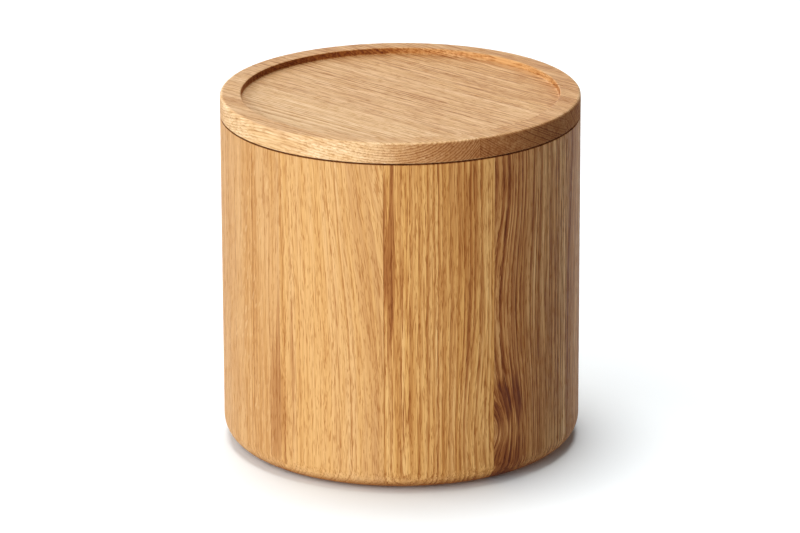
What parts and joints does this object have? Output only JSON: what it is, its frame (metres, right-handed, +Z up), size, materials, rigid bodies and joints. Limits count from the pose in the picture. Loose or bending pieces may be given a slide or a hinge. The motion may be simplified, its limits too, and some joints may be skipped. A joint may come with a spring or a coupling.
{
  "type": "wooden canister",
  "caption": "Lathe-turned oak storage canister: a coopered stave body with a rounded foot, a glued-in base, and a recessed lift-off lid with a plug and a silicone sealing ring.",
  "frame": {"origin": "centre of the flat underside, on the canister's axis", "axes": "+Z up along the canister's axis, -Y to the front, +X to the right seen from the front"},
  "size_m": [0.12, 0.12, 0.12],
  "materials": {
    "stave_oak": "oiled, satin",
    "base_oak": "oiled, satin",
    "lid_oak": "oiled, satin",
    "seal_silicone": "translucent, satin"
  },
  "bodies": {
    "canister": {"body_stave_01": "stave_oak", "body_stave_02": "stave_oak", "body_stave_03": "stave_oak", "body_stave_04": "stave_oak", "body_stave_05": "stave_oak", "body_stave_06": "stave_oak", "body_stave_07": "stave_oak", "body_stave_08": "stave_oak", "body_stave_09": "stave_oak", "body_stave_10": "stave_oak", "base_board_front": "base_oak", "base_board_middle": "base_oak", "base_board_back": "base_oak"},
    "seal": {"lid_seal": "seal_silicone"},
    "lid": {"lid_board_front": "lid_oak", "lid_board_middle": "lid_oak", "lid_board_back": "lid_oak"}
  },
  "joints": [
    {"name": "lid_lift", "type": "slide", "parent": "canister", "child": "seal", "axis": [0, 0, 1], "range_m": [0, 0.12]},
    {"name": "lid_turn", "type": "hinge", "parent": "seal", "child": "lid", "pos_m": [0, 0, 0.1127], "axis": [0, 0, 1], "continuous": true}
  ]
}
